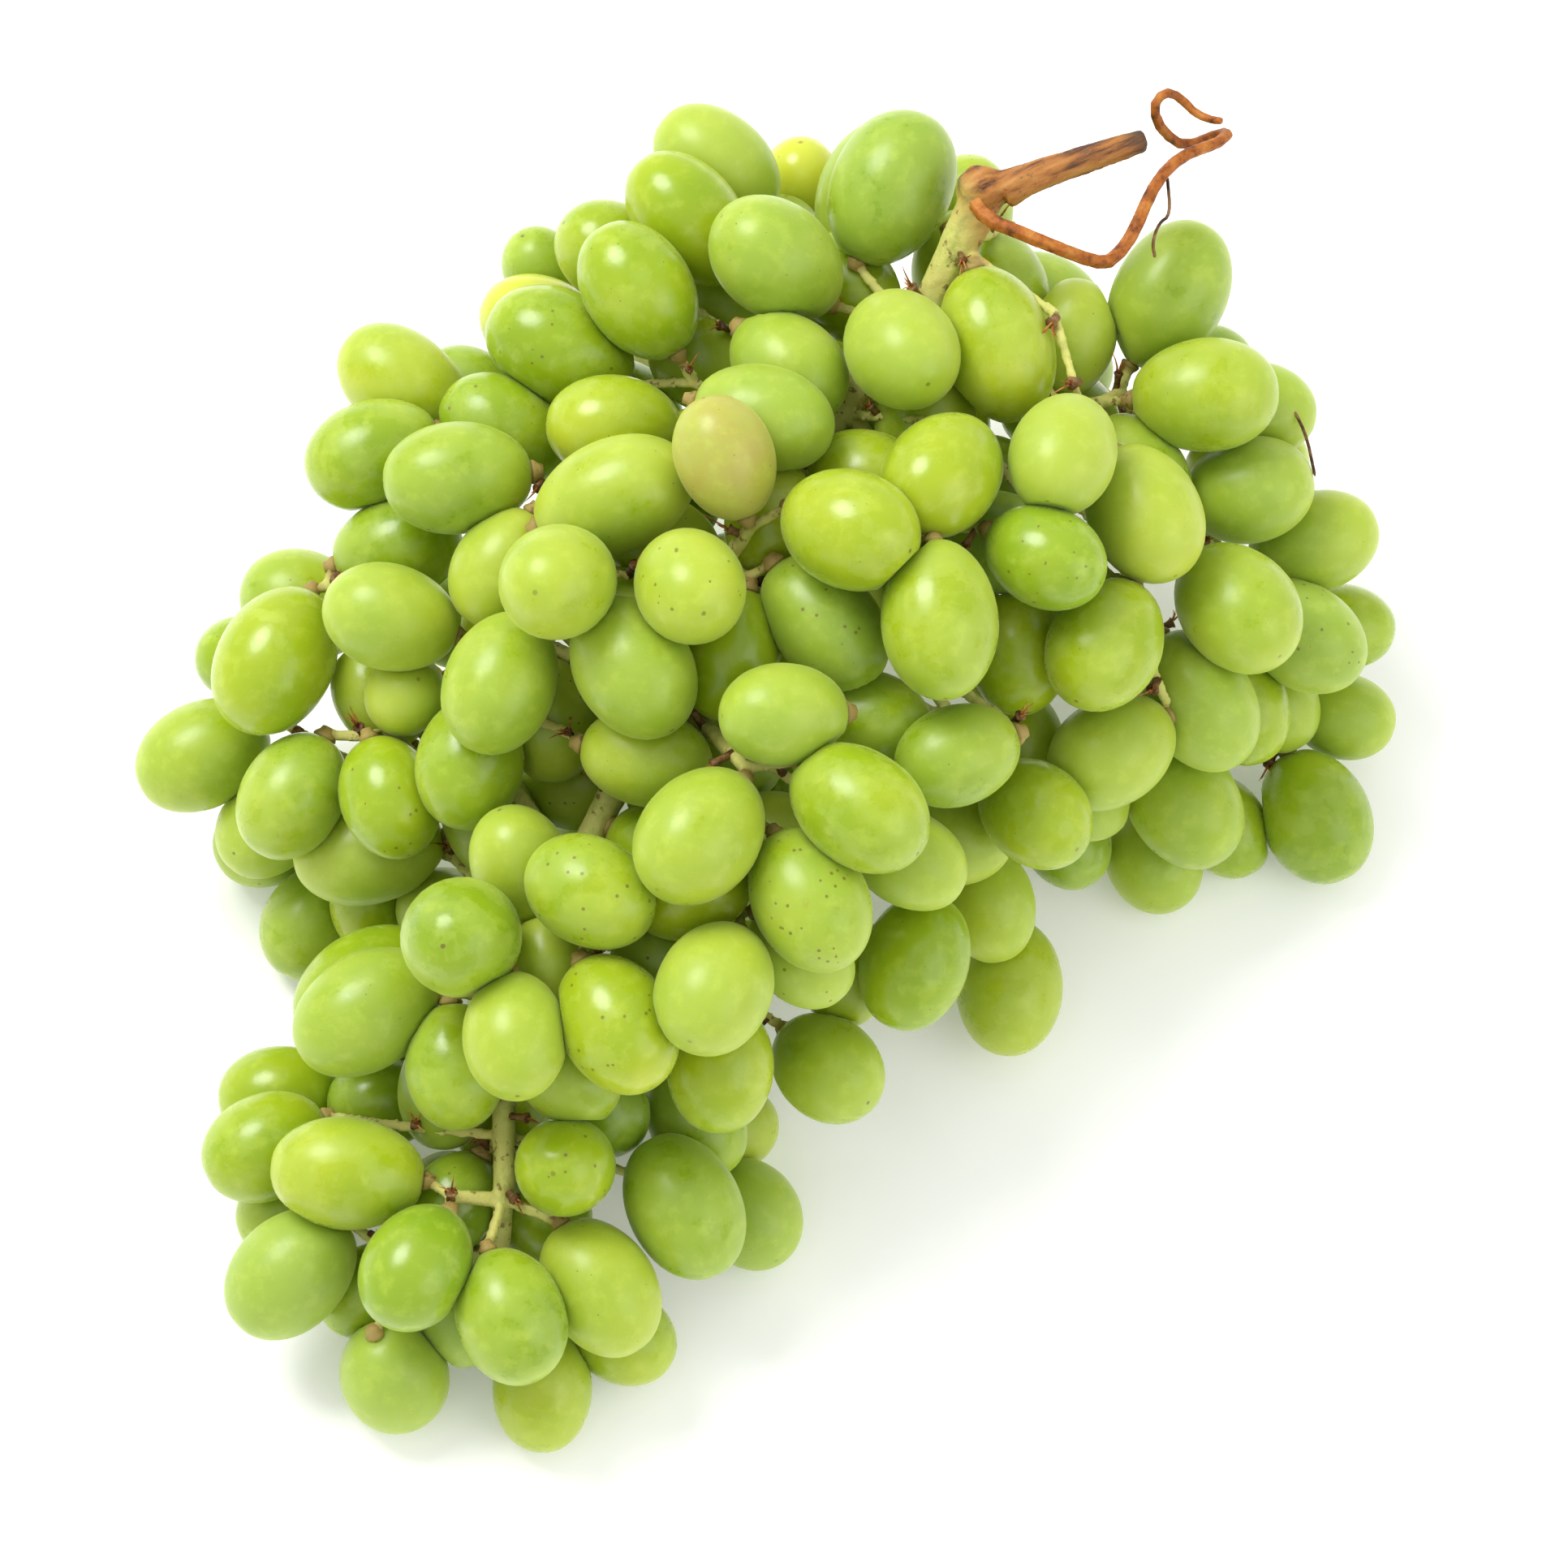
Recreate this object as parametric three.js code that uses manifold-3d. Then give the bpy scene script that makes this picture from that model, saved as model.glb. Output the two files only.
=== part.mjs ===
// A bunch of white table grapes lying on a table, in millimetres, +Z up, resting on z = 0.
// The berries are laid out by hand and then pushed apart until none overlaps another. The stalk
// is grown last: each berry's own little stem finds its way between the berries to the main stem.
import * as THREE from "three";
import { ConvexGeometry } from "three/addons/geometries/ConvexGeometry.js";
import { mergeVertices } from "three/addons/utils/BufferGeometryUtils.js";
import Module from "manifold-3d";

const wasm = await Module();
wasm.setup();

// Driving dimensions
const LOOK_DOWN = THREE.MathUtils.degToRad(65); // the layout faces an eye this far above the table top
const EYE_DISTANCE = 900; // from the eye to the middle of the layout
const MIDDLE_HEIGHT = 40; // height of the layout's middle over the table
const BERRY_ROUNDNESS = 1.3; // usual length of a berry over its width
const STEM_SIDES = 4;
const GAP = 0.35; // least clearance between two pieces
const PRESS = 1.2; // how far two berries of one cluster are pressed into each other
const FLAT_DEPTH = 0.45; // how far the table flattens a berry that rests on it
const SET_DOWN_BELOW = 3.5; // a berry laid this near to the table is set down on it
const LARGEST_CLUSTER = 5; // berries
const MOST_CLUSTERS = 57;
const CELL = 1.6; // the grid on which the little stems find their way
const NECK = 1.5; // thickness of the join where two pressed berries barely meet
const STEM_STEP = 16; // from bend to bend
const JOIN_CELLS = 2; // little stems passing this near to each other become one
const STEMLET_RADIUS = 0.95; // the stem of a single berry
const STEM_GROWTH = 0.26; // how a stem thickens with the number of berries it feeds
const FILL_RADIUS = 7.4; // the berries inside the bunch
const FILL_PITCH = 17; // their spacing before they are pushed apart
const FILL_REACH = 44; // how far from the main stem they grow
const FILL_REACH_HIDDEN = 24; // and how far where nothing of them shows
const FILL_COVER = 0.7; // the least share of such a berry that others must hide
const FILL_SQUEEZE = 3; // how much too tight a place may be before it is left empty

// Across, up and out are the layout's own axes: to the right, away along the table, and towards the eye.
const ACROSS = new THREE.Vector3(1, 0, 0);
const UP = new THREE.Vector3(0, Math.sin(LOOK_DOWN), Math.cos(LOOK_DOWN));
const OUT = new THREE.Vector3(0, -Math.cos(LOOK_DOWN), Math.sin(LOOK_DOWN));
const MIDDLE = new THREE.Vector3(0, 0, MIDDLE_HEIGHT);
const DOWN = new THREE.Vector3(0, 0, -1);

// A place in the layout as a point over the table. What is nearer the eye is drawn smaller to look the same.
const shrink = (out) => 1 - out / EYE_DISTANCE;
const seat = (across, up, out) =>
  MIDDLE.clone()
    .addScaledVector(ACROSS, across * shrink(out))
    .addScaledVector(UP, up * shrink(out))
    .addScaledVector(OUT, out);

// The way a berry's free end points: spin turns it round in the layout, tip raises it towards the eye.
function heading(spin, tip) {
  const s = THREE.MathUtils.degToRad(spin);
  const t = THREE.MathUtils.degToRad(tip);
  return new THREE.Vector3()
    .addScaledVector(ACROSS, Math.cos(t) * Math.cos(s))
    .addScaledVector(UP, Math.cos(t) * Math.sin(s))
    .addScaledVector(OUT, Math.sin(t));
}

// Each berry: across, up, out, spin, tip, width and, where it isn't the usual one, length over width.
const BERRIES = [
  // behind the main stem
  [-10, 94.3, -18, 142, 10, 15.5, 1.4],
  [-13.2, 83.6, -8, 130, 5, 16, 1.45],
  [-2, 79.6, 3, 143, 25, 17.6],
  [-22.7, 74.4, 0, 122, 5, 16.6, 1.36],
  [-25.6, 80.8, -14, 150, 25, 15.5],
  [-37, 77.6, -27, 120, 40, 12],
  [2.4, 90.7, -33, 90, 40, 12.5],
  [2, 84.5, -30, 80, 20, 14.5],
  [16.3, 90.4, -6, 65, 0, 18.6, 1.33],
  [13.6, 87.6, -23, 65, 0, 18],
  [28.6, 87.5, -34, 90, 20, 13.5],
  [26, 80, -22, 80, 10, 13.5],
  [-8.5, 71.5, -12, 140, 20, 16],
  [-13, 63.5, -8, 150, 10, 14],
  // left of the main stem, upper rows
  [-37, 70, -18, 155, 10, 15.5, 1.35],
  [-34, 65.8, -4, 153, 5, 17.4, 1.38],
  [-26.2, 54.4, 6, 175, 10, 16.2],
  [-27.6, 42.3, 20, 22, 8, 17.5, 1.46],
  [-58.3, 61.4, -12, 142, 5, 15.8, 1.42],
  [-47.4, 59.5, -26, 150, 10, 13],
  [-44.2, 54.6, -4, 150, 10, 15.5, 1.35],
  [-62.7, 50.3, 0, 200, 8, 16.6],
  [-49.6, 45.2, 13, 185, 10, 17.3, 1.33],
  // the middle, upper rows
  [-9.7, 49, 32, 110, 15, 15.3],
  [-2.6, 54.5, 19, -15, 8, 16.4, 1.35],
  [3, 63.2, 4, -40, 20, 15.6],
  [16.6, 66, 16, -57, 50, 17.2],
  [25.6, 46.9, 26, -130, 42, 17.6],
  [9.4, 39, 34, -22, 33, 18.2, 1.28],
  [11.5, 46, 14, -20, 10, 15],
  [0, 40.5, 17, -100, 10, 14],
  [21.5, 54, 5, -100, 0, 15.5],
  // right shoulder, upper rows
  [32, 76.8, -12, -50, 10, 15.2],
  [33.8, 67.2, 9, -73, 5, 17.3, 1.42],
  [40, 73.8, -24, -30, 10, 14.5],
  [45, 68, -8, 80, 10, 13.5, 1.35],
  [58.8, 74.2, -8, 61, 5, 17.3, 1.4],
  [65.4, 59, -1, 3, 12, 17.4],
  [71.3, 57, -18, -5, 5, 14.5],
  [64.5, 62, -22, 60, 10, 15],
  [71.2, 43.9, -6, 12, 15, 16.3, 1.25],
  [73, 46.5, -21, 10, 5, 15],
  [81.3, 38.2, -20, 18, 5, 15.3, 1.33],
  [55.6, 40.6, 13, -65, 18, 17.4],
  [54.6, 46.3, -3, -60, 10, 16],
  [42, 50.4, 24, -110, 40, 16.4],
  // right shoulder, lower rows
  [40.3, 33.4, 27, -27, 22, 15.4],
  [25, 23.5, 35, -86, 14, 17.9, 1.4],
  [50, 20.9, 17, -118, 25, 17.5, 1.27],
  [70, 26.3, 4, -52, 33, 17.8],
  [80.3, 21.7, -12, -33, 6, 16, 1.38],
  [86, 23.6, -28, -10, 5, 12.8],
  [64.5, 12.4, -4, -60, 8, 16.8, 1.38],
  [69.6, 10.5, -18, -70, 5, 14.6],
  [75.8, 11, -30, -60, 0, 13.2, 1.25],
  [86.3, 9.6, -37, -15, 5, 13.2, 1.25],
  [79.4, -5.2, -29, -67, 5, 16.8, 1.27],
  [62.6, -3.8, -15, -58, 8, 16.8],
  [71, -7, -32, -60, 0, 13],
  [56.2, -12.6, -28, -65, 15, 14.6, 1.2],
  [44.5, -1, -14, -40, 10, 15],
  [43.6, -9, -26, -60, 5, 13.5],
  [49, 4.2, 2, 212, 10, 16.5, 1.27],
  [36.8, -6.2, 8, -42, 35, 15.5],
  [25.6, 4, 24, 200, 15, 15.4],
  [36, 18.5, 8, -90, 10, 15.2],
  [37.5, 5, 0, -90, 0, 14],
  [14, 9.5, 22, -20, 15, 15.6],
  // the middle
  [-34.4, 30, 36, 213, 71, 17.6],
  [-13.6, 31, 38, -63, 62, 17],
  [-24.3, 17.4, 31, -58, 15, 18, 1.32],
  [-8.3, 19, 22, -105, 5, 15, 1.4],
  [6.6, 24.1, 22, -50, 5, 16.3, 1.45],
  [-0.3, 10.3, 38, 182, 24, 15.8],
  [-21, 1.9, 20, -12, 10, 15, 1.38],
  [-12.4, -8.4, 43, -128, 28, 18.6, 1.28],
  [12.3, -4.7, 41, -38, 20, 17.8, 1.35],
  [3.5, -18.5, 38, -62, 18, 17.8, 1.33],
  [19, -12.3, 24, -30, 5, 14.6, 1.35],
  [27, -8, 6, 0, 0, 14.5],
  [-43, 33, 14, -120, 0, 15],
  [-41.5, 25.5, 6, -120, 0, 15],
  [-37, 9, 8, -90, 0, 15],
  // left shoulder
  [-43.4, 16, 24, -110, 15, 17.2, 1.33],
  [-59.5, 26, 14, 165, 12, 16.4],
  [-58.2, 12, 5, 45, 60, 12.2, 1.15],
  [-62.5, 12.5, -6, 120, 10, 13.5],
  [-77.6, 17, -2, -116, 14, 17.9, 1.35],
  [-74.5, 26, -14, 160, 15, 16.3, 1.25],
  [-59.2, 34.6, -2, 15, 5, 15.6],
  [-82.3, 19, -20, 180, 0, 13.2, 1.2],
  [-89.6, 3.8, -14, 208, 5, 16.3, 1.33],
  [-74.3, -2.2, -2, -118, 12, 15.8],
  [-61, -3.2, 6, -70, 15, 15.1],
  [-47, 2.5, 10, -100, 10, 16.5, 1.25],
  [-78.8, -6.5, -15, -130, 5, 15],
  [-78.3, -9.6, -29, -150, 0, 15],
  [-64.5, -10.8, -7, 190, 0, 16.2, 1.45],
  [-71.4, -21.2, -23, -110, 0, 14.5, 1.22],
  [-65.6, -18.4, -19, -90, 0, 13.2],
  [-45.5, -7, -4, -60, 0, 15],
  // below the middle
  [-38.8, -15, 14, 110, 20, 15],
  [-29.9, -18.2, 35, -28, 18, 16.7],
  [-48.5, -23.6, 29, 205, 78, 18.1],
  [-9.5, -31.9, 40, -115, 40, 17.9, 1.28],
  [-26.5, -37.4, 33, -60, 18, 17.6],
  [-40.3, -38.8, 30, -86, 30, 15.9],
  [-61.8, -37.3, 17, 213, 8, 17.7, 1.38],
  [-64.5, -32.4, 1, 215, 5, 17, 1.4],
  [-50.3, -43, 17, -85, 10, 15.2],
  [-52, -49, 5, -95, 5, 14.6],
  [-36, -46.4, 18, -45, 5, 15],
  [-9.3, -45, 23, -92, 5, 16.4, 1.27],
  [7, -43.4, 7, -40, 35, 15.7, 1.25],
  [19, -28.3, 9, -110, 5, 16.4, 1.32],
  [32, -19, -8, -80, 5, 14],
  [35.2, -33.3, -17, -93, 15, 16.2, 1.32],
  [2.5, -27.7, 22, -45, 5, 14.2],
  [-13.6, -17.4, 27, 20, 5, 14.2, 1.35],
  [-19.6, -29, 20, -60, 5, 14.6],
  [-38.5, -28.5, 14, -90, 0, 13],
  [10.5, -30.5, 8, -90, 5, 14],
  // the tail
  [-33.5, -59, 21, 200, 80, 15.3, 1.2],
  [-65.4, -60.4, 15, 174, 5, 17.2, 1.38],
  [-78.2, -49.3, -8, 185, 5, 15.5, 1.25],
  [-79.5, -56.3, 3, 206, 8, 16.2, 1.25],
  [-75.8, -67, -4, 200, 0, 14.5, 1.2],
  [-75.2, -77, 10, 226, 5, 17.2, 1.32],
  [-56.8, -75.3, 25, 240, 30, 16.5, 1.28],
  [-51, -66, 12, -120, 5, 13.5],
  [-41.2, -82.8, 23, -70, 15, 16.8, 1.28],
  [-28.5, -78, 19, -58, 8, 17.1, 1.33],
  [-16.8, -65.8, 14, -63, 8, 17.4, 1.36],
  [-5, -67.6, -2, -60, 30, 15.3, 1.2],
  [-59.3, -91, 9, -70, -40, 16.6, 1.15],
  [-38.3, -92.2, 9, -90, 5, 15.2, 1.32],
  [-25.7, -86.5, 6, -30, 0, 14.6, 1.25],
  [-49, -83.5, 8, -80, 5, 13],
  [-65, -79, 7, 220, 0, 13],
  [-40, -67, 8, -60, 10, 15],
  [-61, -50, -4, 180, 0, 13.5],
  [-25.5, -51.5, 6, -60, 0, 14],
  [-15, -52, 4, -60, 0, 14.5],
];

// The main stem from the joint at its top to the tip of the tail: across, up, out and radius.
const MAIN_STEM = [
  [30.5, 89, 8, 3.4],
  [26.5, 81, 5, 2.9],
  [20.5, 69, 1, 2.8],
  [9, 57.5, 2, 2.6],
  [-1, 42, 3, 2.4],
  [-11, 24, 8, 2.3],
  [-22, 6, 8, 2.2],
  [-32, -14, 12, 2.1],
  [-39, -34, 14, 1.9],
  [-43, -50, 14, 1.8],
  [-43, -61, 15, 1.6],
  [-43.5, -72, 9, 1.4],
];

// The side arm that was cut off, from the joint to its ragged end.
const ARM = [
  [34, 90.8, 8, 3.1],
  [38, 92.5, 8.5, 2.3],
  [45, 95, 8, 2],
  [51, 97, 7, 1.8],
  [55.5, 98.3, 6, 1.7],
];

// The swollen joint between the main stem, the arm and the tendril.
const JOINT = [30.6, 90.6, 8, 4.1];

// The tendril, from the joint round its bend to the curl at its tip.
const TENDRIL = [
  [29.6, 88.6, 12.6, 1.25],
  [31.6, 86.2, 14.6, 1.2],
  [35.8, 84.4, 15.6, 1.15],
  [42.1, 81.8, 16, 1.1],
  [47.1, 80, 13, 1.1],
  [50, 79.6, 11, 1.15],
  [52.5, 81.8, 10, 1.1],
  [54.6, 85.4, 9.5, 1.1],
  [56.5, 89.8, 8, 1.05],
  [58.8, 93.4, 6, 1],
  [61.9, 96, 5, 1],
  [64.3, 97, 4, 0.95],
  [67, 98, 2, 0.95],
  [68.5, 99.4, -1, 0.9],
  [66.3, 99, -4, 0.9],
  [62.1, 97.6, -5, 0.85],
  [59.4, 99, -3, 0.85],
  [57.5, 101.6, 0, 0.85],
  [57.4, 104.2, 2, 0.8],
  [59, 105.6, 2, 0.8],
  [61, 105, 0, 0.75],
  [63, 103, -1, 0.7],
  [65.3, 101.7, 0, 0.65],
  [67.5, 101.3, 2, 0.6],
];

function berryOf([across, up, out, spin, tip, width, roundness = BERRY_ROUNDNESS]) {
  const radius = (width / 2) * shrink(out);
  const home = seat(across, up, out);
  return { home, centre: home.clone(), axis: heading(spin, tip), radius, half: radius * roundness, laid: true };
}

// How far a berry reaches from its centre along a unit direction.
function reach(berry, direction) {
  const along = berry.axis.dot(direction);
  return Math.hypot(berry.half * along, berry.radius * Math.sqrt(Math.max(0, 1 - along * along)));
}

// How thick a berry is from its centre to its skin along a unit direction.
function reachInside(berry, direction) {
  const along = berry.axis.dot(direction);
  const across = Math.sqrt(Math.max(0, 1 - along * along));
  return 1 / Math.hypot(along / berry.half, across / berry.radius);
}

// Points at even steps along a row of [across, up, out, radius] places, with the thickness at each.
function rodThrough(places, step = 3) {
  const curve = new THREE.CatmullRomCurve3(places.map(([across, up, out]) => seat(across, up, out)));
  const count = Math.ceil(curve.getLength() / step);
  return Array.from({ length: count + 1 }, (_, i) => {
    const along = (i / count) * (places.length - 1);
    const first = Math.min(Math.floor(along), places.length - 2);
    const radius = THREE.MathUtils.lerp(places[first][3], places[first + 1][3], along - first);
    return { point: curve.getPoint(i / count), radius };
  });
}

// Push berries apart, off the stems and off the table, while they are drawn back to where they were laid.
function settle(berries, rods, links, rounds) {
  const step = new THREE.Vector3();
  const away = new THREE.Vector3();
  for (let round = 0; round < rounds; round += 1) {
    const pull = round < rounds * 0.6 ? 0.05 : 0;
    for (const berry of berries) {
      step.subVectors(berry.home, berry.centre);
      const depth = step.dot(OUT);
      step.addScaledVector(OUT, -depth);
      berry.centre.addScaledVector(step, pull).addScaledVector(OUT, depth * pull * 0.3);
    }
    for (let i = 0; i < berries.length; i += 1) {
      for (let j = i + 1; j < berries.length; j += 1) {
        const a = berries[i];
        const b = berries[j];
        away.subVectors(b.centre, a.centre);
        const distance = away.length();
        if (distance > a.half + b.half + GAP) continue;
        away.divideScalar(distance);
        const link = links.get(i * 1000 + j);
        let wanted = reach(a, away) + reach(b, away) + GAP;
        if (link !== undefined) wanted = reachInside(a, away) + reachInside(b, away) - PRESS;
        const short = wanted - distance;
        if (short > 0 || link === "joined") {
          a.centre.addScaledVector(away, -short / 2);
          b.centre.addScaledVector(away, short / 2);
        }
      }
    }
    for (const berry of berries) {
      for (const { point, radius } of rods) {
        away.subVectors(berry.centre, point);
        const distance = away.length();
        if (distance > berry.half + radius + GAP) continue;
        away.divideScalar(distance);
        const short = reach(berry, away) + radius + GAP - distance;
        if (short > 0) berry.centre.addScaledVector(away, short);
      }
      const lowest = reach(berry, DOWN) - FLAT_DEPTH;
      berry.centre.z = Math.max(berry.centre.z, lowest);
    }
  }
}

// Berries nearer the table than this, as laid, are set down on it.
function setDown(berry) {
  const lift = berry.home.z - (reach(berry, DOWN) - FLAT_DEPTH);
  if (lift > SET_DOWN_BELOW) return;
  berry.home.addScaledVector(OUT, -lift / OUT.z);
  berry.centre.copy(berry.home);
}

// How much of a round of this size at this place is covered by berries nearer the eye, from 0 to 1.
function covered(centre, radius, berries) {
  const across = centre.dot(ACROSS);
  const up = centre.dot(UP);
  const out = centre.dot(OUT);
  const spots = [[0, 0]];
  for (let i = 0; i < 10; i += 1) {
    const turn = (i / 10) * 2 * Math.PI;
    spots.push([Math.cos(turn) * radius * 0.92, Math.sin(turn) * radius * 0.92]);
  }
  const hidden = spots.filter(([right, high]) =>
    berries.some((berry) => {
      if (berry.centre.dot(OUT) < out) return false;
      const dx = across + right - berry.centre.dot(ACROSS);
      const dy = up + high - berry.centre.dot(UP);
      const along = dx * berry.axis.dot(ACROSS) + dy * berry.axis.dot(UP);
      const flat = Math.hypot(berry.axis.dot(ACROSS), berry.axis.dot(UP)) || 1;
      const long = Math.hypot(berry.half * flat, berry.radius * Math.sqrt(1 - flat * flat));
      const side = Math.sqrt(Math.max(0, dx * dx + dy * dy - (along / flat) ** 2));
      return Math.hypot(along / flat / long, side / berry.radius) < 1;
    }),
  );
  return hidden.length / spots.length;
}

// The nearest place on the main stem to a point.
function nearestOn(rod, point) {
  return rod.reduce((best, place) =>
    place.point.distanceToSquared(point) < best.point.distanceToSquared(point) ? place : best,
  );
}

// Fill the inside and the underside of the bunch with berries hardly seen from above, lowest first.
function fillUnder(berries, mainStem, rods) {
  for (let level = 0; level < 6; level += 1) {
    const height = FILL_RADIUS + level * FILL_PITCH * 0.82;
    for (let row = -6; row <= 7; row += 1) {
      for (let column = -6; column <= 6; column += 1) {
        const shift = ((row + level) % 2) * 0.5;
        const wobble = Math.sin(row * 12.9 + column * 78.2 + level * 37.7);
        const centre = new THREE.Vector3((column + shift) * FILL_PITCH, row * FILL_PITCH * 0.87, height);
        centre.x += wobble * 1.5;
        const stem = nearestOn(mainStem, centre).point;
        if (stem.distanceTo(centre) > FILL_REACH) continue;
        const axis = centre.clone().sub(stem).normalize();
        axis.z *= 0.5;
        axis.normalize();
        const berry = { home: centre, centre: centre.clone(), axis, radius: FILL_RADIUS * (1 + wobble * 0.05) };
        berry.half = berry.radius * BERRY_ROUNDNESS;
        if (level === 0) berry.centre.z = berry.home.z = reach(berry, DOWN) - FLAT_DEPTH;
        const fits = berries.every((other) => {
          const away = other.centre.clone().sub(berry.centre);
          const distance = away.length();
          away.divideScalar(distance);
          return distance > reach(berry, away) + reach(other, away) - FILL_SQUEEZE;
        });
        const clear = rods.every(({ point, radius }) => point.distanceTo(berry.centre) > radius + berry.radius);
        if (!fits || !clear) continue;
        const share = covered(berry.centre, berry.radius, berries);
        const far = stem.distanceTo(centre) > FILL_REACH_HIDDEN;
        if (share > FILL_COVER && (share < 1 || !far)) berries.push(berry);
      }
    }
  }
}

// Join near neighbours into clusters: each berry is pressed to at least one of its own cluster.
function gather(berries) {
  const pairs = [];
  berries.forEach((a, i) => {
    berries.slice(i + 1).forEach((b, k) => {
      const away = b.centre.clone().sub(a.centre);
      const distance = away.length();
      away.divideScalar(distance);
      const between = distance - reachInside(a, away) - reachInside(b, away);
      if (between < 2) pairs.push({ i, j: i + 1 + k, between });
    });
  });
  pairs.sort((p, q) => p.between - q.between);
  const clusters = berries.map((_, i) => [i]);
  const links = new Map();
  let count = berries.length;
  for (const most of [2, 3, 4, LARGEST_CLUSTER]) {
    for (const { i, j } of pairs) {
      const one = clusters[i];
      const other = clusters[j];
      if (count <= MOST_CLUSTERS) break;
      if (one === other || one.length + other.length > most) continue;
      one.push(...other);
      for (const k of other) clusters[k] = one;
      links.set(i * 1000 + j, "joined");
      count -= 1;
    }
  }
  for (const { i, j } of pairs) {
    if (clusters[i] === clusters[j] && !links.has(i * 1000 + j)) links.set(i * 1000 + j, "pressed");
  }
  return { clusters: [...new Set(clusters)], links };
}

const berries = BERRIES.map(berryOf);
berries.forEach(setDown);
const mainStem = rodThrough(MAIN_STEM);
const arm = rodThrough(ARM);
const tendril = rodThrough(TENDRIL, 2.6);
const joint = { point: seat(...JOINT), radius: JOINT[3] };
const rods = [...mainStem, ...arm, ...tendril, joint];
settle(berries, rods, new Map(), 400);
fillUnder(berries, mainStem, rods);
settle(berries, rods, new Map(), 300);
const { clusters, links } = gather(berries);
settle(berries, rods, links, 1200);

// A point's clearance from the nearest berry, roughly, and the way out from that berry.
function clearance(point, near) {
  let least = 9;
  let outward = DOWN;
  const offset = new THREE.Vector3();
  for (const berry of near) {
    offset.subVectors(point, berry.centre);
    if (offset.lengthSq() > (berry.half + 9) ** 2) continue;
    const along = offset.dot(berry.axis);
    const side = Math.sqrt(Math.max(0, offset.lengthSq() - along * along));
    const scaled = Math.hypot(along / berry.half, side / berry.radius);
    const gap = (scaled - 1) * (offset.length() / Math.max(scaled, 0.01));
    if (gap < least) {
      least = gap;
      outward = offset.clone().normalize();
    }
  }
  return { least, outward };
}

// The grid: how roomy every cell is, and the cheapest way from each to the main stem.
const bounds = new THREE.Box3().setFromPoints(berries.map((berry) => berry.centre)).expandByScalar(12);
const size = bounds.getSize(new THREE.Vector3()).divideScalar(CELL).ceil();
const strides = [1, size.x, size.x * size.y];
const placeOf = (cell) =>
  new THREE.Vector3(cell % size.x, Math.floor(cell / strides[1]) % size.y, Math.floor(cell / strides[2]))
    .multiplyScalar(CELL)
    .add(bounds.min);

function cellOf(point) {
  const at = point.clone().sub(bounds.min).divideScalar(CELL).round();
  return at.x + at.y * strides[1] + at.z * strides[2];
}

function cellsWithin(point, radius) {
  const found = [];
  const low = point.clone().subScalar(radius).sub(bounds.min).divideScalar(CELL).ceil();
  const high = point.clone().addScalar(radius).sub(bounds.min).divideScalar(CELL).floor();
  low.max(new THREE.Vector3(1, 1, 1));
  high.min(size.clone().subScalar(2));
  for (let z = low.z; z <= high.z; z += 1) {
    for (let y = low.y; y <= high.y; y += 1) {
      for (let x = low.x; x <= high.x; x += 1) found.push(x + y * strides[1] + z * strides[2]);
    }
  }
  return found;
}

const room = new Float32Array(size.x * size.y * size.z).fill(4);
for (const berry of berries) {
  for (const cell of cellsWithin(berry.centre, berry.half + 4)) {
    room[cell] = Math.min(room[cell], clearance(placeOf(cell), [berry]).least);
  }
}

// Every move from a cell to another no more than this many cells away in each direction.
function movesWithin(most) {
  const moves = [];
  for (let x = -most; x <= most; x += 1) {
    for (let y = -most; y <= most; y += 1) {
      for (let z = -most; z <= most; z += 1) {
        if (x || y || z) moves.push({ to: x + y * strides[1] + z * strides[2], length: Math.hypot(x, y, z) });
      }
    }
  }
  return moves.sort((a, b) => a.length - b.length);
}

const steps = movesWithin(1);
const joins = movesWithin(JOIN_CELLS);
const effort = new Float32Array(room.length).fill(Infinity);
const towards = new Int32Array(room.length).fill(-1);
const queue = [[]];
mainStem.slice(3).forEach(({ point }, i) => {
  const cell = cellOf(point);
  effort[cell] = 0;
  towards[cell] = -2 - i;
  queue[0].push(cell);
});
for (let level = 0; level < queue.length; level += 1) {
  for (const cell of queue[level] ?? []) {
    if (Math.floor(effort[cell] * 4) !== level) continue;
    for (const { to, length } of steps) {
      const next = cell + to;
      const tight = Math.max(0, 1.7 - room[next]);
      if (!(room[next] > 0.2)) continue;
      const total = effort[cell] + length * (1 + tight * tight * 3);
      if (total >= effort[next] - 0.01) continue;
      effort[next] = total;
      towards[next] = cell;
      const slot = Math.floor(total * 4);
      (queue[slot] ??= []).push(next);
    }
  }
}

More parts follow.
